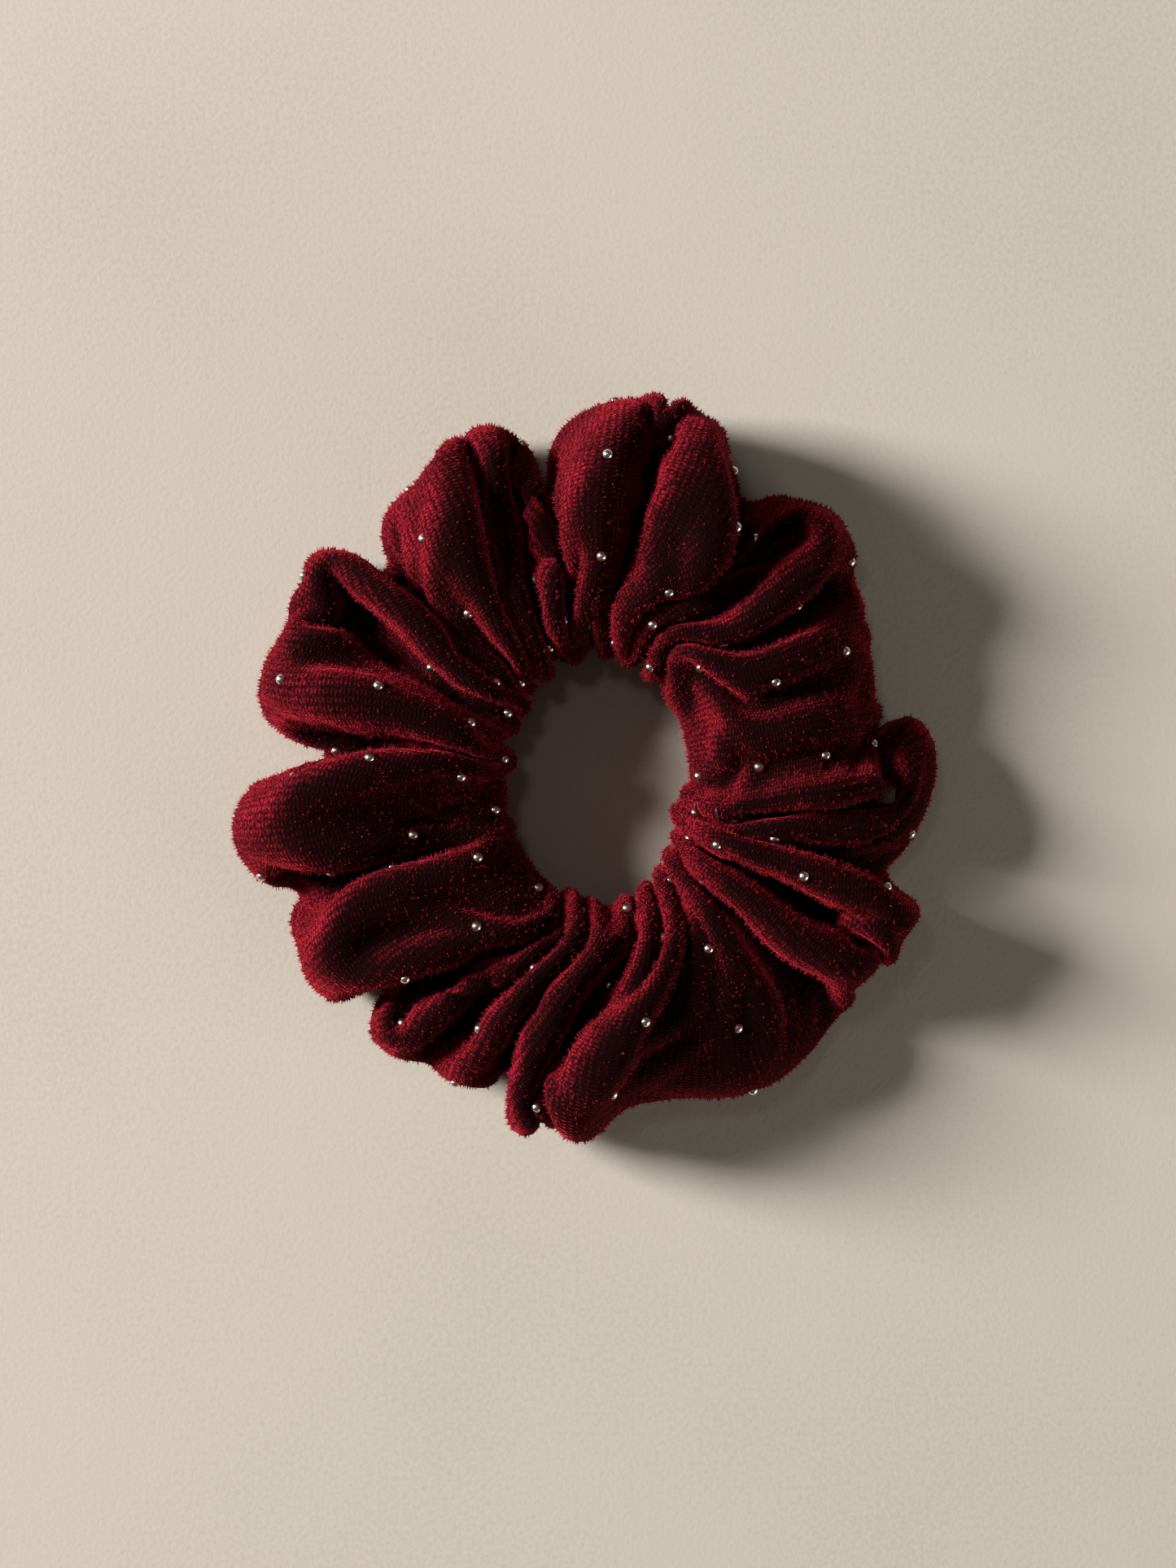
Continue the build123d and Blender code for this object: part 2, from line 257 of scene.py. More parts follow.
class ScrunchieSizes(bpy.types.PropertyGroup):
    """Real sizes of the soft pieces and of what is sewn or pressed onto them."""
    cut_length: length("Cut length", "Length of the velvet strip before it is gathered", 0.38)
    cut_girth: length("Cut girth", "Distance round the tube of velvet", 0.086)
    ground: length("Cloth", "Thickness of the velvet without its pile", 0.0009)
    pile: length("Pile", "How far the pile stands out from the cloth", 0.0006)
    pile_width: length("Pile tuft", "Width of one tuft of the pile", 0.00026)
    tufts: IntProperty(name="Tufts", description="Number of pile tufts modelled one by one",
                       default=44000, min=0)
    wale: length("Wale", "Distance between ribs of the knitted ground", 0.00065)
    course: length("Course", "Distance between rows of knitting", 0.0005)
    tuck: length("Tuck", "How far the tube's closing end is tucked inside the other", 0.008)
    stud_width: length("Stud width", "Width of one dome stud", 0.0015)
    stud_height: length("Stud height", "Height of its dome above the pile", 0.0006)
    stud_root: length("Stud root", "Depth of its rim in the pile", 0.0003)
    stud_step: length("Stud step", "Distance between studs, on the flat cloth", 0.013)
    thread: length("Thread", "Thickness of the sewing thread", 0.0005)
    stitch: length("Stitch", "Length of one stitch", 0.0022)
    stitch_step: length("Stitch step", "Distance between stitches", 0.0034)
    lap: length("Elastic lap", "How far the elastic's two ends overlap", 0.012)


class ScrunchieColours(bpy.types.PropertyGroup):
    """Colours of the finishes."""
    pile_deep: colour("Pile, deep", "Velvet seen down into its pile", "#0d0102")
    # Pile, lit is a painted lit copy of the velvet: painted light on slopes that face the key light, and more
    # of it in randomly brushed patches.
    pile_painted_lit: colour("Pile, lit", "Velvet where the pile is brushed over", "#94182a")
    pile_sheen: colour("Pile, sheen", "Light caught by the ends of the pile", "#ff3a50")
    tuft_deep: colour("Tuft, deep", "Tufts of the pile that lean away", "#36060c")
    tuft_lit: colour("Tuft, lit", "Tufts of the pile that catch the light", "#a01c2c")
    back: colour("Velvet back", "Knitted back of the velvet", "#3c0a10")
    elastic: colour("Elastic", "Yarn of the braided elastic", "#1d1a1b")
    lap_thread: colour("Lap thread", "Bonded thread through the elastic's lap", "#bcbcb9")
    thread: colour("Thread", "Sewing thread matched to the velvet", "#3a0a10")
    metal: colour("Studs", "Nickel plate of the studs", "#dcd8d0")
    floor: colour("Floor", "Paint of the board underneath", "#bcb5ab")


# ---- shape of the folds ----
def around_hole(angles, radii, heights):
    """Points at angles in degrees and radii about the middle of the hair hole."""
    t = np.radians(angles)
    return np.stack([HOLE[0] + radii * np.cos(t), HOLE[1] + radii * np.sin(t), heights + 0 * t], -1)


def hole_radius(angle):
    t = math.radians(angle)
    return HOLE_A * HOLE_B / math.hypot(HOLE_B * math.cos(t), HOLE_A * math.sin(t))


def even_places(count):
    """Places from 0 up to 1 in even steps."""
    return np.arange(count) / count


def closed_curve(points, places, at):
    """Smooth closed curve through rows of points, places being their parameters from 0 to 1."""
    n = len(points)
    t = np.concatenate([places, places[:1] + 1])
    p = np.concatenate([points, points[:1]])
    before = np.concatenate([places[-1:] - 1, places])
    after = np.concatenate([places[1:], places[:2] + 1])
    spread = (after - before).reshape((-1,) + (1,) * (p.ndim - 1))
    ahead, behind = np.arange(1, n + 2) % n, np.arange(-1, n) % n
    slope = (points[ahead] - points[behind]) / spread
    at = np.mod(at - t[0], 1) + t[0]
    i = np.clip(np.searchsorted(t, at, "right") - 1, 0, n - 1)
    h = (t[i + 1] - t[i]).reshape((-1,) + (1,) * (p.ndim - 1))
    s = ((at - t[i]) / (t[i + 1] - t[i])).reshape(h.shape)
    return (p[i] * (1 + 2 * s) * (1 - s) ** 2 + slope[i] * h * s * (1 - s) ** 2
            + p[i + 1] * s * s * (3 - 2 * s) + slope[i + 1] * h * s * s * (s - 1))


def fold_outline(fold, count):
    """Closed section of the tube along one fold line, from the hole over the top and back under."""
    a_hole, a_in, a_mid, a_rim, reach, h_in, h_mid, h_rim, raised = fold
    reach -= CLOTH_SET_IN
    hole = hole_radius(a_hole) + 0.3
    r_band = hole + BAND_INSET - 0.3
    r_in = hole + QUARTER_OUT * (reach - hole)
    r_mid = hole + TWO_THIRDS_OUT * (reach - hole)
    over = max(RING_Z + BAND_WIDTH / 2 + BAND_ROOM, 0.9 * h_in)
    below = RING_Z - BAND_WIDTH / 2 - BAND_ROOM
    under = max(FLOOR_ROOM, 5.5 - 0.35 * min(h_mid, h_rim))     # low folds are also drawn up below
    under_rim = max(under, raised)
    under_mid = max(under, 0.6 * raised)
    rows = [
        (a_hole, hole, RING_Z), (a_hole, hole + 2.0, RING_Z + 3.2), (a_hole, r_band, over),
        (a_in, r_in, h_in), (a_mid, r_mid, h_mid), (a_rim, reach - 2.5, 0.9 * h_rim),
        (a_rim, reach, (h_rim + under_rim) / 2), (a_rim, reach - 3.5, under_rim),
        (a_mid, r_mid, under_mid), (a_in, r_in, min(under, below)), (a_hole, r_band, min(under + 1, below)),
        (a_hole, hole + 2.0, RING_Z - 4.5),
    ]
    angles, radii, heights = np.array(rows, float).T
    points = around_hole(angles, radii, heights)
    step = np.linalg.norm(np.roll(points, -1, 0) - points, axis=1)
    places = np.concatenate([[0], np.cumsum(step)[:-1]]) / step.sum()
    fine = closed_curve(points, places, even_places(400))
    run = np.concatenate([[0], np.cumsum(np.linalg.norm(np.roll(fine, -1, 0) - fine, axis=1))])
    fine = np.concatenate([fine, fine[:1]])
    even = even_places(count) * run[-1]
    return np.stack([np.interp(even, run, fine[:, k]) for k in range(3)], -1)


def laid_folds(along, around):
    """The cover as laid out fold by fold: a closed grid of points along the tube and around it."""
    outlines = np.stack([fold_outline(fold, around) for fold in FOLDS])
    top = outlines[:, around // 8: around // 2]
    gap = np.linalg.norm(np.roll(top, -1, 0) - top, axis=2).mean(1)
    places = np.concatenate([[0], np.cumsum(gap)[:-1]]) / gap.sum()
    return closed_curve(outlines, places, even_places(along))


# ---- cloth ----
def close_pairs(points, reach, along, around, skip):
    """Pairs of grid points nearer than reach that aren't neighbours in the cloth."""
    cell = np.floor((points - points.min(0)) / reach).astype(np.int64) + 1
    size = cell.max(0) + 2
    key = (cell[:, 0] * size[1] + cell[:, 1]) * size[2] + cell[:, 2]
    order = np.argsort(key, kind="stable")
    sorted_key = key[order]
    first, second = [], []
    for dx in (0, 1):
        for dy in (-1, 0, 1):
            for dz in (-1, 0, 1):
                shift = (dx * size[1] + dy) * size[2] + dz
                if shift < 0 and dx == 0:
                    continue
                low = np.searchsorted(sorted_key, sorted_key + shift, "left")
                high = np.searchsorted(sorted_key, sorted_key + shift, "right")
                if shift == 0:
                    low = np.arange(len(order)) + 1
                    low = np.minimum(low, high)
                count = high - low
                a = np.repeat(np.arange(len(order)), count)
                b = np.arange(count.sum()) - np.repeat(np.cumsum(count) - count - low, count)
                first.append(order[a])
                second.append(order[b])
    a, b = np.concatenate(first), np.concatenate(second)
    du = np.abs(a // around - b // around)
    dv = np.abs(a % around - b % around)
    du, dv = np.minimum(du, along - du), np.minimum(dv, around - dv)
    far = (du > skip) | (dv > skip)
    a, b = a[far], b[far]
    near = ((points[a] - points[b]) ** 2).sum(1) < reach * reach
    return a[near], b[near]


def push_apart(points, pairs, reach):
    """Moves points of touching layers apart, half the overlap each."""
    a, b = pairs
    d = points[a] - points[b]
    length = np.sqrt((d * d).sum(1)) + 1e-9
    push = np.clip(reach - length, 0, None) / length * 0.5
    move = np.zeros_like(points)
    count = np.zeros(len(points))
    for k in range(3):
        move[:, k] += np.bincount(a, d[:, k] * push, len(points))
        move[:, k] -= np.bincount(b, d[:, k] * push, len(points))
    hit = push > 0
    count += np.bincount(a[hit], minlength=len(points)) + np.bincount(b[hit], minlength=len(points))
    return move / np.maximum(count, 1)[:, None] * np.minimum(count, 2)[:, None]


def keep_off_elastic(points, gap):
    """Moves points out of the elastic band, which has a gap around it."""
    x, y = points[..., 0] - HOLE[0], points[..., 1] - HOLE[1]
    t = np.arctan2(y * BAND_A, x * BAND_B)
    normal = np.stack([BAND_B * np.cos(t), BAND_A * np.sin(t)], -1)
    normal /= np.linalg.norm(normal, axis=-1, keepdims=True)
    out = (x - BAND_A * np.cos(t)) * normal[..., 0] + (y - BAND_B * np.sin(t)) * normal[..., 1]
    up = points[..., 2] - RING_Z
    side, rise = BAND_THICK / 2 + gap, BAND_WIDTH / 2 + gap
    inside = (np.abs(out) < side) & (np.abs(up) < rise)
    sideways = inside & (side - np.abs(out) < rise - np.abs(up))
    vertical = inside & ~sideways
    shift = np.where(sideways, (np.where(out > 0, side, -side) - out), 0)
    points[..., 0] += shift * normal[..., 0]
    points[..., 1] += shift * normal[..., 1]
    points[..., 2] += np.where(vertical, np.where(up > 0, rise, -rise) - up, 0)


# Threads between grid points so many steps apart along and around, with their strengths. Those of
# one step hold their length; the longer ones only resist bending, as a thick cloth does.
THREADS = ((1, 0, 1.0), (0, 1, 1.0), (1, 1, 0.45), (1, -1, 0.45), (2, 0, 0.45), (0, 2, 0.45),
           (4, 0, 0.25), (0, 4, 0.25), (2, 2, 0.15), (2, -2, 0.15))


def relax(points, guide, rest_along, rest_around, steps, hold, gap, fall):
    """Settles the grid as cloth with these rest lengths between points, held to the guide."""
    along, around = points.shape[:2]
    links = [(du, dv, np.sqrt((du * rest_along) ** 2 + (dv * rest_around) ** 2)[..., None], strength)
             for du, dv, strength in THREADS]
    total = 2 * sum(link[3] for link in links)
    last = points.copy()
    pairs = None
    for step in range(steps):
        share = step / max(1, steps - 1)
        motion = (points - last) * KEPT_MOTION
        last = points.copy()
        points = points + np.clip(motion, -LONGEST_MOVE, LONGEST_MOVE)
        points[..., 2] -= fall
        move = np.zeros_like(points)
        for du, dv, length, strength in links:
            d = np.roll(points, (-du, -dv), (0, 1)) - points
            size = np.sqrt((d * d).sum(-1, keepdims=True)) + 1e-9
            error = (size - length) / size
            if max(du, abs(dv)) > 1:
                error = np.minimum(error, 0)
            pull = d * error * (0.5 * strength)
            move += pull - np.roll(pull, (du, dv), (0, 1))
        points += move * (STRETCH_GAIN / total)
        points += (guide - points) * (hold * (1 - 0.6 * share))
        if step % 4 == 0:
            pairs = close_pairs(points.reshape(-1, 3), gap * 1.35, along, around, 3)
        points += push_apart(points.reshape(-1, 3), pairs, gap).reshape(points.shape)
        keep_off_elastic(points, CLOTH_ON_BAND)
        points[..., 2] = np.maximum(points[..., 2], CLOTH_ON_FLOOR)
    return points


def refine(points, along, around):
    """The closed grid at another resolution, through cubic curves both ways."""
    for count in (along, around):
        points = closed_curve(points, even_places(len(points)), even_places(count)).swapaxes(0, 1)
    return points


def soften(points, times):
    for _ in range(times):
        mean = sum(np.roll(points, shift, axis) for shift in (-1, 1) for axis in (0, 1)) / 4
        points = points + (mean - points) * 0.5
    return points


def normals(points):
    """Outward unit normals of a closed grid."""
    along = np.roll(points, -1, 0) - np.roll(points, 1, 0)
    around = np.roll(points, -1, 1) - np.roll(points, 1, 1)
    n = np.cross(around, along)
    return n / (np.linalg.norm(n, axis=-1, keepdims=True) + 1e-12)


def rest_lengths(points, cut_length, girth):
    """Rest lengths of the cloth's threads: along the tube, for each line around it, and around it.

    The gathers next to the elastic are packed into pleats too fine to lay out one by one, so
    there the cloth counts as already gathered; away from the elastic it has its full length.
    """
    along, around = points.shape[:2]
    free = np.interp(even_places(around), FREE_PLACES, FREE_SHARES)
    slack = np.interp(even_places(along), SLACK_PLACES, SLACK_SHARES)
    steps = np.linalg.norm(np.roll(points, -1, 0) - points, axis=2)
    gathered = steps.mean(0) * 1.08 * slack[:, None] + steps * 1.02 * (1 - slack[:, None])
    rest_along = gathered + np.maximum(cut_length / along - gathered, 0) * free * slack[:, None]
    laid = np.linalg.norm(np.roll(points, -1, 1) - points, axis=2).sum(1)
    rest_around = (laid + (girth - laid) * EXTRA_GIRTH * slack) / around
    return rest_along, rest_around[:, None]


@functools.lru_cache(maxsize=1)
def settled_cover(cut_length, girth):
    """Middle surface of the cover's cloth, in millimetres, as it lies."""
    coarse = laid_folds(*COARSE_GRID)
    hold = np.interp(even_places(COARSE_GRID[1]), HOLD_PLACES, HOLD_SHARES)[None, :, None]
    smooth = 1 - np.interp(even_places(COARSE_GRID[0]), SLACK_PLACES, SLACK_SHARES)[:, None, None]
    hold = np.minimum(hold * (1 + SMOOTH_HOLD * smooth), FIRMEST_HOLD)
    rests = rest_lengths(coarse, cut_length, girth)
    points = relax(coarse, coarse, *rests, COARSE_STEPS, hold, COARSE_LAYERS, COARSE_FALL)
    points = refine(points, *FINE_GRID)
    hold = np.interp(even_places(FINE_GRID[1]), HOLD_PLACES, HOLD_SHARES)[None, :, None] * FINE_HOLD
    rests = rest_lengths(refine(coarse, *FINE_GRID), cut_length, girth)
    points = relax(points, points.copy(), *rests, FINE_STEPS, hold, FINE_LAYERS, FINE_FALL)
    return soften(points, 1)


def cloth(sizes):
    return settled_cover(round(sizes.cut_length / MM, 3), round(sizes.cut_girth / MM, 3))


def on_cloth(grid, along, around):
    """Values of a closed grid at places from 0 to 1 along and around it."""
    a, b = np.mod(along, 1) * grid.shape[0], np.mod(around, 1) * grid.shape[1]
    i, j = a.astype(int), b.astype(int)
    s, t = (a - i)[:, None], (b - j)[:, None]
    i, j = i % grid.shape[0], j % grid.shape[1]
    i2, j2 = (i + 1) % grid.shape[0], (j + 1) % grid.shape[1]
    return (grid[i, j] * (1 - s) + grid[i2, j] * s) * (1 - t) + (grid[i, j2] * (1 - s) + grid[i2, j2] * s) * t


def axes_on_cloth(points, along, around, lift):
    """Places on the cloth with the direction along the tube, round it and outwards at each."""
    outward = normals(points)
    place = on_cloth(points + outward * lift, along, around)
    out = unit(on_cloth(outward, along, around))
    ahead = on_cloth(np.roll(points, -1, 0) - np.roll(points, 1, 0), along, around)
    ahead = unit(ahead - out * (ahead * out).sum(1, keepdims=True))
    return place, ahead, np.cross(out, ahead), out


def unit(vectors):
    return vectors / (np.linalg.norm(vectors, axis=-1, keepdims=True) + 1e-12)


# ---- meshes ----
def new_object(name, verts, faces, material):
    mesh = bpy.data.meshes.new(name)
    mesh.from_pydata(verts.tolist() if hasattr(verts, "tolist") else verts, [], faces)
    mesh.update()
    obj = bpy.data.objects.new(name, mesh)
    bpy.context.scene.collection.objects.link(obj)
    if material is not None:
        mesh.materials.append(material)
    for polygon in mesh.polygons:
        polygon.use_smooth = True
    return obj


def grid_faces(along, around, start, outward):
    """Faces of a grid that closes on itself both ways."""
    i = np.repeat(np.arange(along), around)
    j = np.tile(np.arange(around), along)
    i2, j2 = (i + 1) % along, (j + 1) % around
    corners = [i * around + j, i * around + j2, i2 * around + j2, i2 * around + j]
    if not outward:
        corners.reverse()
    return (np.stack(corners, -1) + start).tolist()


def repeated(part_verts, part_faces, place, x_axis, y_axis, z_axis):
    """One closed shape repeated at each place, turned to its axes: points, faces, shape numbers."""
    x, y, z = (part_verts[None, :, k:k + 1] for k in range(3))
    verts = place[:, None] + x_axis[:, None] * x + y_axis[:, None] * y + z_axis[:, None] * z
    count, size = len(place), len(part_verts)
    faces = [[corner + k * size for corner in face] for k in range(count) for face in part_faces]
    return verts.reshape(-1, 3), faces, np.repeat(np.arange(count), size)


def turned(profile, segments):
    """Closed shape turned about z from a profile of radius and height, its ends on the axis."""
    angles = np.arange(segments) * 2 * math.pi / segments
    rings = [[(r * math.cos(t), r * math.sin(t), z) for t in angles] for r, z in profile[1:-1]]
    verts = np.array([(0, 0, profile[0][1])] + sum(rings, []) + [(0, 0, profile[-1][1])])
    faces = []
    for k in range(segments):
        k2 = (k + 1) % segments
        faces.append([0, 1 + k2, 1 + k])
        for ring in range(len(rings) - 1):
            base = 1 + ring * segments
            faces.append([base + k, base + k2, base + segments + k2, base + segments + k])
        base = 1 + (len(rings) - 1) * segments
        faces.append([base + k, base + k2, len(verts) - 1])
    return verts, faces


def swept(sections):
    """Closed shape through closed sections, one after another, with flat ends."""
    count, around = sections.shape[:2]
    faces = []
    for i in range(count - 1):
        for j in range(around):
            j2 = (j + 1) % around
            faces.append([i * around + j, i * around + j2, (i + 1) * around + j2, (i + 1) * around + j])
    faces.append(list(range(around))[::-1])
    faces.append([(count - 1) * around + j for j in range(around)])
    return sections.reshape(-1, 3), faces


def bent_thread(stitch_length, thread, rise):
    """One stitch along x: a round thread whose two ends dip into the cloth."""
    rings = []
    for s in np.linspace(-1, 1, 9):
        r = thread / 2 * math.sqrt(max(0.08, 1 - abs(s) ** 6))
        z = rise * (1 - s * s) - thread * 0.6 * s ** 4
        rings.append([(s * stitch_length / 2, r * math.cos(t), z + r * math.sin(t))
                      for t in np.arange(8) * math.pi / 4])
    return swept(np.array(rings))


def stretch_with_ring(obj, shapes=None):
    """Lets a piece stretch as the ring is pulled open; separate shapes on it keep their size."""
    low, high = CAD_BOX
    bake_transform(obj, "left_half", "right_half", start=(low[0], 0, 0), end=(high[0], 0, 0))
    if shapes is not None:
        weights = np.empty(len(obj.data.vertices), dtype=np.float32)
        data = obj.data.attributes["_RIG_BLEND"].data
        data.foreach_get("value", weights)
        mean = np.bincount(shapes, weights) / np.bincount(shapes)
        data.foreach_set("value", mean[shapes].astype(np.float32))


def map_cloth(obj, u, v):
    """UV layer that holds millimetres of flat cloth, along the tube and round it."""
    layer = obj.data.uv_layers.new(name="cloth")
    corners = np.empty(len(obj.data.loops), dtype=np.int32)
    obj.data.loops.foreach_get("vertex_index", corners)
    uv = np.stack([u[corners], v[corners]], -1)
    polygons = np.empty(len(obj.data.polygons), dtype=np.int32)
    obj.data.polygons.foreach_get("loop_start", polygons)
    for axis, values in ((0, u), (1, v)):
        span = values.max() - values.min()
        for k in range(4):
            far = uv[polygons, axis] - uv[(polygons + k) % len(uv), axis]
            uv[(polygons + k) % len(uv), axis] += np.where(far > span / 2, span, 0)
    layer.data.foreach_set("uv", uv.astype(np.float32).ravel())


# ---- materials ----
def add(tree, kind, links=None, stops=(), **settings):
    """A node with its attributes or socket values set, its ramp's stops placed and its inputs linked."""
    node = tree.nodes.new(kind)
    for key, value in settings.items():
        if hasattr(node, key):
            setattr(node, key, value)
        else:
            node.inputs[key.replace("_", " ")].default_value = value
    for k, (position, stop_colour) in enumerate(stops):
        node.color_ramp.elements[k].position = position
        node.color_ramp.elements[k].color = stop_colour
    for socket, source in (links or {}).items():
        tree.links.new(source, node.inputs[socket])
    return node


def new_material(name):
    material = bpy.data.materials.new(name)
    material.use_nodes = True
    tree = material.node_tree
    tree.nodes.clear()
    return material, tree


def bands(spacing):
    """Scale of a wave texture whose bands lie this far apart, in the units of its coordinates."""
    return math.pi / 10 / spacing


def velvet(sizes, colours):
    """Stretch velvet with a short upright pile: its colour is painted near black where the cloth faces up
    and crimson on slopes that face the key light, painted shade and light, brighter in brushed patches,
    with the fine ribs of its knitted ground and a sparkle of single tufts showing through."""
    material, tree = new_material("Stretch Velvet, Knitted Ground, Dyed Wine Red")
    flat = add(tree, "ShaderNodeUVMap", uv_map="cloth")
    place = add(tree, "ShaderNodeTexCoord")
    # Knitted ground: ribs along the tube and rows across them, at the knit's own spacing.
    ribs = add(tree, "ShaderNodeTexWave", {"Vector": flat.outputs["UV"]}, wave_type="BANDS",
               bands_direction="X", Scale=bands(sizes.wale / MM),
               Distortion=1.5, Detail=3.0, Detail_Scale=2.0)
    rows = add(tree, "ShaderNodeTexWave", {"Vector": flat.outputs["UV"]}, wave_type="BANDS",
               bands_direction="Y", Scale=bands(sizes.course / MM),
               Distortion=2.0, Detail=2.0, Detail_Scale=1.5)
    knit = add(tree, "ShaderNodeMath", {0: ribs.outputs["Fac"], 1: rows.outputs["Fac"]}, operation="MULTIPLY")
    worn = add(tree, "ShaderNodeMapRange", {"Value": knit.outputs[0]}, To_Min=0.2)
    # Single tufts, drawn a few times coarser than real ones so that they show.
    single = add(tree, "ShaderNodeTexNoise", {"Vector": place.outputs["Object"]},
                 Scale=1 / (TUFT_SPACING * MM), Detail=2.0)
    tufts = add(tree, "ShaderNodeMapRange", {"Value": single.outputs["Fac"]}, From_Min=0.34, From_Max=0.68)
    # Patches where a hand has brushed the pile over.
    brushed = add(tree, "ShaderNodeTexNoise", {"Vector": place.outputs["Object"]},
                  Scale=1 / (BRUSHED_PATCH * MM), Detail=3.0)
    mixed = add(tree, "ShaderNodeMath", {0: worn.outputs["Result"], 1: tufts.outputs["Result"]},
                operation="MULTIPLY")
    patch = add(tree, "ShaderNodeMapRange", {"Value": brushed.outputs["Fac"]},
                From_Min=0.38, From_Max=0.66, To_Min=0.45, To_Max=1.5)
    leaning = add(tree, "ShaderNodeMath", {0: mixed.outputs[0], 1: patch.outputs["Result"]},
                  operation="MULTIPLY")
    # Painted light and shade: the colour darkens where the cloth faces up and brightens on slopes that
    # face the key light, by the direction of the surface alone.
    facing = add(tree, "ShaderNodeNewGeometry")
    toward_light = add(tree, "ShaderNodeVectorMath", {0: facing.outputs["Normal"]}, operation="DOT_PRODUCT")
    toward_light.inputs[1].default_value = PAINTED_LIGHT_FACING
    slope = add(tree, "ShaderNodeMapRange", {"Value": toward_light.outputs["Value"]}, interpolation_type="SMOOTHSTEP",
                From_Min=-0.62, From_Max=0.5, To_Min=0.1, To_Max=1.25)
    lit = add(tree, "ShaderNodeMath", {0: leaning.outputs[0], 1: slope.outputs["Result"]},
              operation="MULTIPLY")
    # The ramp paints the velvet from its deep colour to its painted lit colour by this painted light, mixed
    # with the knit, the tufts and the brushed patches.
    ramp = add(tree, "ShaderNodeValToRGB", {"Fac": lit.outputs[0]},
               ((0.02, (*colours.pile_deep, 1)), (0.55, (*colours.pile_painted_lit, 1))))
    soft = add(tree, "ShaderNodeBump", {"Height": brushed.outputs["Fac"]}, Strength=0.5, Distance=1.2 * MM)
    ribbed = add(tree, "ShaderNodeBump", {"Height": knit.outputs[0], "Normal": soft.outputs["Normal"]},
                 Strength=0.7, Distance=0.14 * MM)
    rough = add(tree, "ShaderNodeBump", {"Height": single.outputs["Fac"], "Normal": ribbed.outputs["Normal"]},
                Strength=0.8, Distance=0.3 * MM)
    shader = add(tree, "ShaderNodeBsdfPrincipled",
                 {"Base Color": ramp.outputs["Color"], "Normal": rough.outputs["Normal"]}, Roughness=0.95,
                 Specular_IOR_Level=0.05, Sheen_Weight=0.55, Sheen_Roughness=0.36,
                 Sheen_Tint=(*colours.pile_sheen, 1))
    add(tree, "ShaderNodeOutputMaterial", {"Surface": shader.outputs["BSDF"]})
    return material


def velvet_tufts(sizes, colours):
    """Single tufts of the same pile, a soft crimson fringe along every edge of the cloth."""
    material, tree = new_material("Velvet Pile Tufts, Sheared, Dyed Wine Red")
    place = add(tree, "ShaderNodeTexCoord")
    spread = add(tree, "ShaderNodeTexNoise", {"Vector": place.outputs["Object"]},
                 Scale=1 / (TUFT_GROUP * MM), Detail=1.0)
    ramp = add(tree, "ShaderNodeValToRGB", {"Fac": spread.outputs["Fac"]},
               ((0.35, (*colours.tuft_deep, 1)), (0.75, (*colours.tuft_lit, 1))))
    shader = add(tree, "ShaderNodeBsdfPrincipled", {"Base Color": ramp.outputs["Color"]}, Roughness=0.8,
                 Specular_IOR_Level=0.1, Sheen_Weight=0.5, Sheen_Roughness=0.5,
                 Sheen_Tint=(*colours.pile_sheen, 1))
    add(tree, "ShaderNodeOutputMaterial", {"Surface": shader.outputs["BSDF"]})
    return material


def velvet_back(sizes, colours):
    """Back of the velvet: a smooth dull knit with fine loops and no pile."""
    material, tree = new_material("Velvet Back, Plain Knit, Dyed Wine Red")
    place = add(tree, "ShaderNodeTexCoord")
    loops = add(tree, "ShaderNodeTexVoronoi", {"Vector": place.outputs["Object"]}, Scale=1 / sizes.course)
    ramp = add(tree, "ShaderNodeValToRGB", {"Fac": loops.outputs["Distance"]},
               ((0.0, (*colours.back, 1)), (1.0, (*colours.pile_deep, 1))))
    bump = add(tree, "ShaderNodeBump", {"Height": loops.outputs["Distance"]}, Strength=0.6,
               Distance=0.15 * MM, invert=True)
    shader = add(tree, "ShaderNodeBsdfPrincipled",
                 {"Base Color": ramp.outputs["Color"], "Normal": bump.outputs["Normal"]}, Roughness=0.85,
                 Specular_IOR_Level=0.2)
    add(tree, "ShaderNodeOutputMaterial", {"Surface": shader.outputs["BSDF"]})
    return material


def braided_elastic(sizes, colours):
    """Braided elastic: ribs of covered rubber along the band with yarn crossing them."""
    material, tree = new_material("Braided Elastic, Polyester over Rubber, Black")
    flat = add(tree, "ShaderNodeUVMap", uv_map="cloth")
    ribs = add(tree, "ShaderNodeTexWave", {"Vector": flat.outputs["UV"]}, wave_type="BANDS",
               bands_direction="Y", Scale=bands(ELASTIC_RIB), Distortion=0.3)
    yarn = add(tree, "ShaderNodeTexWave", {"Vector": flat.outputs["UV"]}, wave_type="BANDS",
               bands_direction="DIAGONAL", Scale=bands(ELASTIC_YARN), Distortion=0.8)
    braid = add(tree, "ShaderNodeMath", {0: ribs.outputs["Fac"], 1: yarn.outputs["Fac"]},
                operation="MULTIPLY")
    ramp = add(tree, "ShaderNodeValToRGB", {"Fac": braid.outputs[0]},
               ((0.0, linear("#0d0c0d")), (1.0, (*colours.elastic, 1))))
    bump = add(tree, "ShaderNodeBump", {"Height": braid.outputs[0]}, Strength=0.8, Distance=0.2 * MM)
    shader = add(tree, "ShaderNodeBsdfPrincipled",
                 {"Base Color": ramp.outputs["Color"], "Normal": bump.outputs["Normal"]}, Roughness=0.7,
                 Specular_IOR_Level=0.3)
    add(tree, "ShaderNodeOutputMaterial", {"Surface": shader.outputs["BSDF"]})
    return material


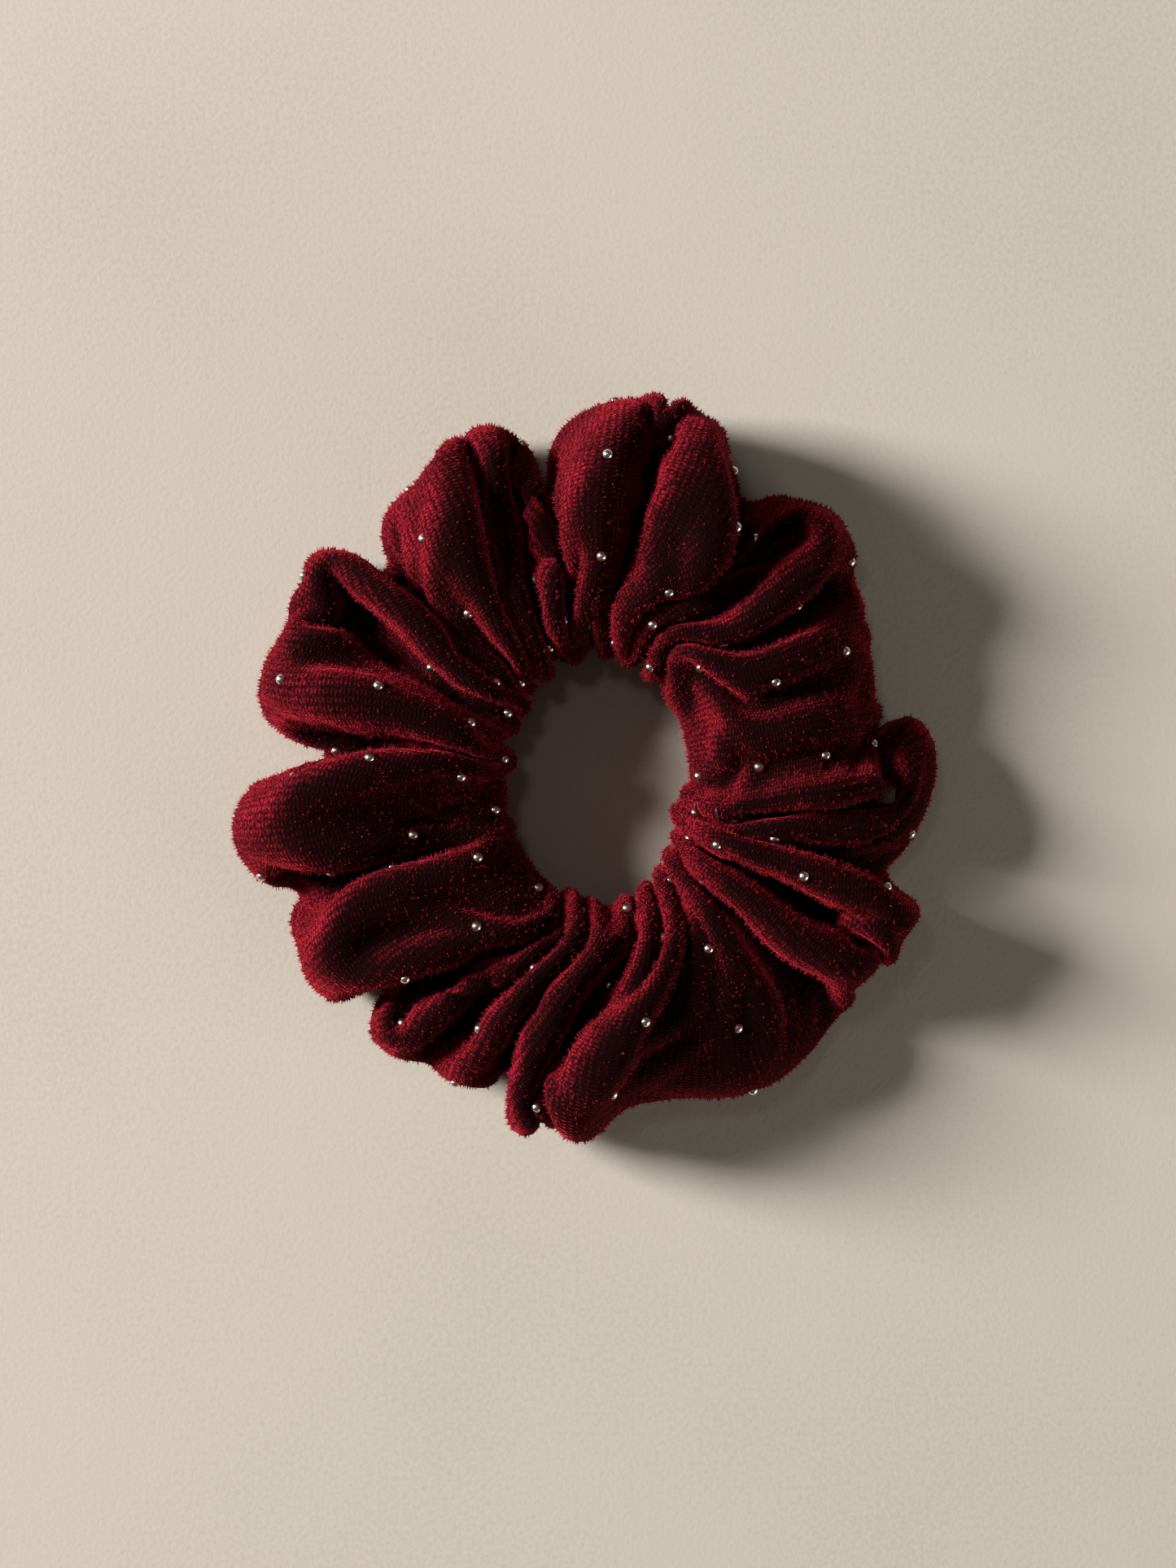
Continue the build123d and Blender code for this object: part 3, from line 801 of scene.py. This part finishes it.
def spun_thread(name, thread_colour):
    """Twisted polyester thread with a slight gloss along its plies."""
    material, tree = new_material(name)
    place = add(tree, "ShaderNodeTexCoord")
    plies = add(tree, "ShaderNodeTexWave", {"Vector": place.outputs["Object"]}, wave_type="BANDS",
                bands_direction="DIAGONAL", Scale=bands(THREAD_PLY * MM), Distortion=0.5)
    bump = add(tree, "ShaderNodeBump", {"Height": plies.outputs["Fac"]}, Strength=0.7, Distance=0.05 * MM)
    shader = add(tree, "ShaderNodeBsdfPrincipled", {"Normal": bump.outputs["Normal"]},
                 Base_Color=(*thread_colour, 1), Roughness=0.55, Specular_IOR_Level=0.3)
    add(tree, "ShaderNodeOutputMaterial", {"Surface": shader.outputs["BSDF"]})
    return material


def stud_metal(colours):
    """Nickel-plated steel: a bright cool glint with faint handling marks that dull it unevenly."""
    material, tree = new_material("Dome Studs, Pressed Steel, Nickel Plated")
    place = add(tree, "ShaderNodeTexCoord")
    marks = add(tree, "ShaderNodeTexNoise", {"Vector": place.outputs["Object"]},
                Scale=1 / (HANDLING_MARK * MM), Detail=3.0)
    dull = add(tree, "ShaderNodeMapRange", {"Value": marks.outputs["Fac"]}, To_Min=0.14, To_Max=0.34)
    bump = add(tree, "ShaderNodeBump", {"Height": marks.outputs["Fac"]}, Strength=0.15, Distance=0.05 * MM)
    shader = add(tree, "ShaderNodeBsdfPrincipled",
                 {"Roughness": dull.outputs["Result"], "Normal": bump.outputs["Normal"]},
                 Base_Color=(*colours.metal, 1), Metallic=1.0)
    add(tree, "ShaderNodeOutputMaterial", {"Surface": shader.outputs["BSDF"]})
    return material


def painted_board(colours):
    """Board with a rolled matt paint: a fine orange peel and a slow unevenness of tone."""
    material, tree = new_material("Matt Painted Board, Warm Grey")
    place = add(tree, "ShaderNodeTexCoord")
    peel = add(tree, "ShaderNodeTexNoise", {"Vector": place.outputs["Object"]},
               Scale=1 / (ORANGE_PEEL * MM), Detail=2.0)
    tone = add(tree, "ShaderNodeTexNoise", {"Vector": place.outputs["Object"]},
               Scale=1 / (UNEVEN_TONE * MM), Detail=3.0)
    even = add(tree, "ShaderNodeMath", {0: peel.outputs["Fac"], 1: tone.outputs["Fac"]}, operation="ADD")
    red, green, blue = colours.floor
    ramp = add(tree, "ShaderNodeValToRGB", {"Fac": even.outputs[0]},
               ((0.6, (red * 0.9, green * 0.9, blue * 0.89, 1)), (1.0, (red, green, blue, 1))))
    bump = add(tree, "ShaderNodeBump", {"Height": peel.outputs["Fac"]}, Strength=0.3, Distance=0.12 * MM)
    shader = add(tree, "ShaderNodeBsdfPrincipled",
                 {"Base Color": ramp.outputs["Color"], "Normal": bump.outputs["Normal"]}, Roughness=0.9,
                 Specular_IOR_Level=0.2)
    add(tree, "ShaderNodeOutputMaterial", {"Surface": shader.outputs["BSDF"]})
    return material


# ---- pieces of velvet ----
def velvet_cover(points, sizes, colours):
    """The whole tube of cloth: its outer face and, at half the resolution, its back."""
    half = sizes.ground / MM / 2
    along, around = points.shape[:2]
    outer = points + normals(points) * half
    inner = refine(points, along // 2, around // 2)
    inner = inner - normals(inner) * half
    verts = np.concatenate([outer.reshape(-1, 3), inner.reshape(-1, 3)]) * MM
    faces = grid_faces(along, around, 0, True)
    faces += grid_faces(along // 2, around // 2, along * around, False)
    cover = new_object("velvet_cover", verts, faces, velvet(sizes, colours))
    grids = ((along, around), (along // 2, around // 2))
    u = np.concatenate([np.repeat(even_places(n), m) for n, m in grids])
    v = np.concatenate([np.tile(even_places(m), n) for n, m in grids])
    map_cloth(cover, u * sizes.cut_length / MM, v * sizes.cut_girth / MM)
    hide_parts("cover_left", "cover_right")
    stretch_with_ring(cover)
    return cover


def tucked_hem(points, sizes, colours):
    """The closing end, inside the other end and against its back."""
    along, around = points.shape[:2]
    outward = normals(points)
    half = sizes.ground / MM / 2
    rows = int(round(sizes.tuck / sizes.cut_length * along)) + 1
    layers = []
    for depth in HEM_DEPTHS:
        layer = (points - outward * (half + depth))[:rows].copy()
        keep_off_elastic(layer, HEM_ON_BAND)
        layers.append(layer)
    sheet = np.concatenate([layers[0], layers[1][::-1]])
    faces = grid_faces(len(sheet), around, 0, True)
    hem = new_object("tucked_hem", sheet.reshape(-1, 3) * MM, faces, velvet_back(sizes, colours))
    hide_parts("tucked_end")
    stretch_with_ring(hem)
    return hem


def velvet_pile(points, sizes, colours):
    """Tufts of pile wherever the cloth is open to the air, most of them on faces that look sideways.

    A real tuft is some hundredths of a millimetre wide. These stand for a few each, so that the
    fringe shows and stays light enough to handle.
    """
    along, around = points.shape[:2]
    rng = np.random.default_rng(7)
    u, v = rng.random(sizes.tufts * 3), rng.random(sizes.tufts * 3)
    lift = sizes.ground / MM / 2
    place, ahead, across, out = axes_on_cloth(points, u, v, lift)
    skin = (points + normals(points) * lift).reshape(-1, 3)
    tree = BVHTree.FromPolygons(skin.tolist(), grid_faces(along, around, 0, True))
    keep = rng.random(len(place)) < 0.1 + 1.5 * (1 - np.clip(out[:, 2], 0, 1))

    def open_to_air(point, normal):
        start = Vector(point + normal * PILE_START)
        return point[2] > PILE_FLOOR and tree.ray_cast(start, Vector(normal), PILE_CLEAR)[0] is None

    free = np.array([k and open_to_air(p, n) for k, p, n in zip(keep, place, out)])
    chosen = np.flatnonzero(free)[:sizes.tufts]
    lean = rng.normal(0, TUFT_LEAN, (len(chosen), 2))
    tall = (sizes.pile / MM) * rng.uniform(0.6, 1.15, len(chosen))[:, None]
    wide = (sizes.pile_width / MM) * rng.uniform(0.7, 1.2, len(chosen))[:, None]
    spin = rng.uniform(0, 2 * math.pi, len(chosen))[:, None]
    place, ahead, across, out = (axis[chosen] for axis in (place, ahead, across, out))
    tip = unit(out + ahead * lean[:, :1] + across * lean[:, 1:])
    side = ahead * np.cos(spin) + across * np.sin(spin)
    other = np.cross(out, side)
    tuft = np.array([(1, 0, -0.15), (-0.5, 0.87, -0.15), (-0.5, -0.87, -0.15), (0, 0, 1.0)])
    faces = [[0, 2, 1], [0, 1, 3], [1, 2, 3], [2, 0, 3]]
    verts, faces, shapes = repeated(tuft, faces, place, side * wide / 2, other * wide / 2, tip * tall)
    pile = new_object("velvet_pile", verts * MM, faces, velvet_tufts(sizes, colours))
    stretch_with_ring(pile, shapes)
    return pile


# ---- other pieces ----
def elastic_strip(start, end, count, outwards):
    """Closed sections of the band between two angles, moved outwards by so many millimetres."""
    t = np.linspace(start, end, count)
    a, b = BAND_A + outwards, BAND_B + outwards
    line = np.stack([HOLE[0] + a * np.cos(t), HOLE[1] + b * np.sin(t)], -1)
    out = unit(np.stack([b * np.cos(t), a * np.sin(t)], -1))
    half = BAND_WIDTH / 2
    section = [(-0.5, -half + BAND_EDGE), (-0.25, -half), (0.25, -half), (0.5, -half + BAND_EDGE)]
    section += [(0.5, z) for z in np.linspace(-half + 1, half - 1, 5)]
    section += [(x, -z) for x, z in section[3::-1]]
    section += [(-0.5, z) for z in np.linspace(half - 1, -half + 1, 5)]
    rows = [np.concatenate([line + out * x * BAND_THICK, np.full((count, 1), RING_Z + z)], 1)
            for x, z in section]
    return np.stack(rows, 1)


def stitch_row(name, nodes, along, around, lift, sizes, thread):
    """Stitches at places on the cloth, each laid along the tube."""
    place, ahead, across, out = axes_on_cloth(cloth(sizes), along, around, lift)
    verts, faces = bent_thread(sizes.stitch / MM, sizes.thread / MM, STITCH_RISE)
    verts, faces, shapes = repeated(verts, faces, place, ahead, across, out)
    stitches = new_object(name, verts * MM, faces, thread)
    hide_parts(*nodes)
    stretch_with_ring(stitches, shapes)


def soft_light(name, azimuth, elevation, distance, width, height, power, light_colour):
    """A soft rectangular light that looks at the scrunchie."""
    data = bpy.data.lights.new(name, "AREA")
    data.shape = "RECTANGLE"
    data.size, data.size_y = width, height
    data.energy = power
    data.color = light_colour
    light = bpy.data.objects.new(name, data)
    bpy.context.scene.collection.objects.link(light)
    turn, rise = math.radians(azimuth), math.radians(elevation)
    light.location = Vector((math.cos(turn) * math.cos(rise), math.sin(turn) * math.cos(rise),
                             math.sin(rise))) * distance
    light.rotation_euler = (-light.location).to_track_quat("-Z", "Y").to_euler()


def settings(context):
    return context.scene.scrunchie_sizes, context.scene.scrunchie_colours


class SCRUNCHIE_OT_cover(bpy.types.Operator):
    """Make the gathered velvet cover with the end tucked inside it and its pile"""
    bl_idname = "scrunchie.cover"
    bl_label = "Velvet Cover"
    bl_options = {"REGISTER", "UNDO"}

    def execute(self, context):
        sizes, colours = settings(context)
        points = cloth(sizes)
        cover = velvet_cover(points, sizes, colours)
        with_pieces = [tucked_hem(points, sizes, colours)]
        if sizes.tufts:
            with_pieces.append(velvet_pile(points, sizes, colours))
        return {"FINISHED"}


class SCRUNCHIE_OT_elastic(bpy.types.Operator):
    """Make the ring of braided elastic, its sewn lap and the bars of thread through it"""
    bl_idname = "scrunchie.elastic"
    bl_label = "Elastic"
    bl_options = {"REGISTER", "UNDO"}

    def execute(self, context):
        sizes, colours = settings(context)
        self.band(sizes, colours)
        self.lap_thread(sizes, colours)
        return {"FINISHED"}

    def band(self, sizes, colours):
        whole = elastic_strip(0, 2 * math.pi, 241, 0.0)[:-1]
        ring = whole.reshape(-1, 3)
        ring_faces = grid_faces(len(whole), whole.shape[1], 0, False)
        half_lap = sizes.lap / MM / 2 / BAND_A
        lap, lap_faces = swept(elastic_strip(-half_lap, half_lap, 25, BAND_THICK * 1.02)[::-1])
        faces = ring_faces + [[corner + len(ring) for corner in face] for face in lap_faces]
        band = new_object("elastic_band", np.concatenate([ring, lap]) * MM, faces,
                          braided_elastic(sizes, colours))
        layer = band.data.uv_layers.new(name="cloth")
        for loop in band.data.loops:
            point = band.data.vertices[loop.vertex_index].co / MM
            turn = math.atan2(point.y - HOLE[1], point.x - HOLE[0])
            layer.data[loop.index].uv = (turn * (BAND_A + BAND_B) / 2, point.z)
        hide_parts("elastic_left", "elastic_right")
        stretch_with_ring(band)

    def lap_thread(self, sizes, colours):
        """Two rows of thread bars across the lap, a quarter of the width above and below its middle."""
        step = sizes.lap / MM / BAND_A / (LAP_BARS + 1)
        angles = (np.repeat(np.arange(LAP_BARS), 2) - (LAP_BARS - 1) / 2) * step
        height = RING_Z + np.tile([-BAND_WIDTH / 4, BAND_WIDTH / 4], LAP_BARS)
        reach = BAND_A * BAND_B / np.hypot(BAND_B * np.cos(angles), BAND_A * np.sin(angles)) + BAND_THICK / 2
        out = np.stack([np.cos(angles), np.sin(angles), 0 * angles], -1)
        up = np.tile([0.0, 0.0, 1.0], (len(out), 1))
        place = np.concatenate([HOLE + out[:, :2] * reach[:, None], height[:, None]], 1)
        verts, faces = bent_thread(2 * BAND_THICK + sizes.thread / MM, sizes.thread / MM, 0.0)
        verts, faces, shapes = repeated(verts, faces, place, out, np.cross(up, out), up)
        join = new_object("elastic_join", verts * MM, faces,
                          spun_thread("Bonded Thread, Polyester, Natural", colours.lap_thread))
        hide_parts("elastic_join_stitches")
        stretch_with_ring(join, shapes)


class SCRUNCHIE_OT_seams(bpy.types.Operator):
    """Make the stitches of the long seam and of the closing seam"""
    bl_idname = "scrunchie.seams"
    bl_label = "Seams"
    bl_options = {"REGISTER", "UNDO"}

    def execute(self, context):
        sizes, colours = settings(context)
        thread = spun_thread("Sewing Thread, Polyester, Wine Red", colours.thread)
        half = sizes.ground / MM / 2
        hole_round = math.pi * (HOLE_A + HOLE_B)
        count = 2 * int(hole_round / (sizes.stitch_step / MM) / 2)
        stitch_row("long_seam", ("long_seam_left", "long_seam_right"), (np.arange(count) + 0.5) / count,
                   np.full(count, 0.0), -half - 0.1, sizes, thread)
        count = int(sizes.cut_girth / sizes.stitch_step)
        past_edge = -CLOSING_STITCH_PAST * MM / sizes.cut_length
        stitch_row("closing_seam", ("closing_seam_stitches",), np.full(count, past_edge),
                   (np.arange(count) + 0.5) / count, half - 0.15, sizes, thread)
        return {"FINISHED"}


class SCRUNCHIE_OT_studs(bpy.types.Operator):
    """Press the dome studs onto the cloth in their staggered rows"""
    bl_idname = "scrunchie.studs"
    bl_label = "Dome Studs"
    bl_options = {"REGISTER", "UNDO"}

    def execute(self, context):
        sizes, colours = settings(context)
        rows = 2 * round(sizes.cut_length / sizes.stud_step / 2)
        in_row = round(sizes.cut_girth / sizes.stud_step)
        row = np.repeat(np.arange(rows), in_row)
        along = (row + 0.5) / rows
        around = (np.tile(np.arange(in_row), rows) + 0.5 * (row % 2) + 0.25) / in_row
        place, ahead, across, out = axes_on_cloth(cloth(sizes), along, around, sizes.ground / MM / 2)
        radius, height = sizes.stud_width / MM / 2, sizes.stud_height / MM
        # Studs under the scrunchie rest on the floor.
        lowest = radius * np.hypot(out[:, 0], out[:, 1]) - height * out[:, 2]
        place[:, 2] += np.maximum(0, lowest - place[:, 2])
        dome = (radius ** 2 + height ** 2) / (2 * height)
        widest = math.asin(radius / dome)
        profile = [(0, -sizes.stud_root / MM), (radius * 0.96, -sizes.stud_root / MM)]
        profile += [(dome * math.sin(t), height - dome + dome * math.cos(t))
                    for t in np.linspace(widest, 0, 8)]
        verts, faces = turned(profile, 20)
        verts, faces, shapes = repeated(verts, faces, place, ahead, across, out)
        studs = new_object("dome_studs", verts * MM, faces, stud_metal(colours))
        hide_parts("studs_left", "studs_right")
        stretch_with_ring(studs, shapes)
        return {"FINISHED"}


class SCRUNCHIE_OT_stage(bpy.types.Operator):
    """Set the painted board, the soft low light and the camera above the scrunchie"""
    bl_idname = "scrunchie.stage"
    bl_label = "Studio"
    bl_options = {"REGISTER", "UNDO"}

    def execute(self, context):
        sizes, colours = settings(context)
        scene = context.scene
        corners = np.array([(-1, -1, 0), (1, -1, 0), (1, 1, 0), (-1, 1, 0)]) * BOARD_HALF
        new_object("floor", corners, [[0, 1, 2, 3]], painted_board(colours))
        world = bpy.data.worlds.new("studio")
        scene.world = world
        world.use_nodes = True
        background = world.node_tree.nodes["Background"]
        background.inputs["Color"].default_value = linear("#d8cfc4")
        background.inputs["Strength"].default_value = 0.095
        soft_light("key", 164, 28, 1.8, 0.46, 0.62, 76, (1.0, 0.97, 0.92))
        soft_light("low fill", 325, 12, 1.0, 0.6, 0.25, 4.5, (1.0, 0.96, 0.9))
        soft_light("glint", 120, 72, 0.9, 0.08, 0.08, 0.25, (1.0, 0.97, 0.94))
        data = bpy.data.cameras.new("camera")
        camera = bpy.data.objects.new("camera", data)
        scene.collection.objects.link(camera)
        data.lens = 97
        camera.location = (0.0003, -0.0018, 0.6)
        scene.camera = camera
        scene.view_settings.view_transform = "Standard"
        return {"FINISHED"}


class SCRUNCHIE_PT_sidebar(bpy.types.Panel):
    """Sizes, colours and a button for each group of pieces"""
    bl_idname = "SCRUNCHIE_PT_sidebar"
    bl_label = "Studded Velvet Scrunchie"
    bl_space_type = "VIEW_3D"
    bl_region_type = "UI"
    bl_category = "Scrunchie"

    def draw(self, context):
        for group in settings(context):
            column = self.layout.column(align=True)
            for name in group.__annotations__:
                column.prop(group, name)
        column = self.layout.column(align=True)
        for operator in OPERATORS:
            column.operator(operator.bl_idname)


OPERATORS = (SCRUNCHIE_OT_stage, SCRUNCHIE_OT_cover, SCRUNCHIE_OT_elastic, SCRUNCHIE_OT_seams,
             SCRUNCHIE_OT_studs)
CLASSES = (ScrunchieSizes, ScrunchieColours) + OPERATORS + (SCRUNCHIE_PT_sidebar,)


def register():
    for cls in CLASSES:
        bpy.utils.register_class(cls)
    bpy.types.Scene.scrunchie_sizes = PointerProperty(type=ScrunchieSizes)
    bpy.types.Scene.scrunchie_colours = PointerProperty(type=ScrunchieColours)


def unregister():
    del bpy.types.Scene.scrunchie_colours
    del bpy.types.Scene.scrunchie_sizes
    for cls in reversed(CLASSES):
        bpy.utils.unregister_class(cls)


def main():
    register()
    bpy.ops.scrunchie.stage()
    bpy.ops.scrunchie.cover()
    bpy.ops.scrunchie.elastic()
    bpy.ops.scrunchie.seams()
    bpy.ops.scrunchie.studs()


if __name__ == "__main__":
    main()
